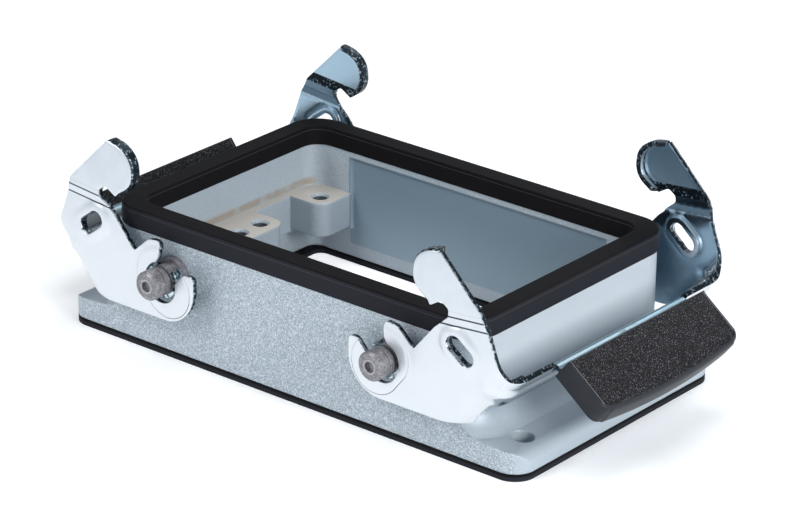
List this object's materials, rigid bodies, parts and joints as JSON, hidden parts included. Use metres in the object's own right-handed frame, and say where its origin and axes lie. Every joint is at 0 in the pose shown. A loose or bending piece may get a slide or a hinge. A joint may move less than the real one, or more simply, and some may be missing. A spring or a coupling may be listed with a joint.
{
  "type": "heavy duty rectangular connector housing",
  "caption": "Open rectangular bulkhead housing for heavy duty connector inserts, with rim and flange seals and two locking levers",
  "frame": {"origin": "centre of the flange seal's underside, which rests on the panel", "axes": "+X along the long walls, +Y across them, +Z out of the panel towards the mating hood"},
  "size_m": [0.203, 0.114, 0.0638],
  "materials": {
    "cast_housing": "grey powder coat with a fine bright speckle",
    "seal_rubber": "moulded rubber, matt",
    "pin_steel": "dull turned steel",
    "zinc_sheet": "bright blue zinc plate",
    "zinc_bush": "bright zinc plate",
    "grip_plastic": "black moulded plastic with a coarse grain"
  },
  "bodies": {
    "root": {"housing": "cast_housing", "flange_seal": "seal_rubber", "rim_seal": "seal_rubber", "pin_right_front": "pin_steel", "pin_right_back": "pin_steel", "pin_left_front": "pin_steel", "pin_left_back": "pin_steel"},
    "right_lever": {"lever_right": "zinc_sheet", "grip_right": "grip_plastic", "bush_right_front": "zinc_bush", "bush_right_back": "zinc_bush"},
    "left_lever": {"lever_left": "zinc_sheet", "grip_left": "grip_plastic", "bush_left_front": "zinc_bush", "bush_left_back": "zinc_bush"}
  },
  "joints": [
    {"name": "right_lever_pivot", "type": "hinge", "parent": "root", "child": "right_lever", "pos_m": [0.0403, 0, 0.0263], "axis": [0, -1, 0], "range_deg": [0, 38]},
    {"name": "left_lever_pivot", "type": "hinge", "parent": "root", "child": "left_lever", "pos_m": [-0.0403, 0, 0.0263], "axis": [0, 1, 0], "range_deg": [0, 38]}
  ]
}
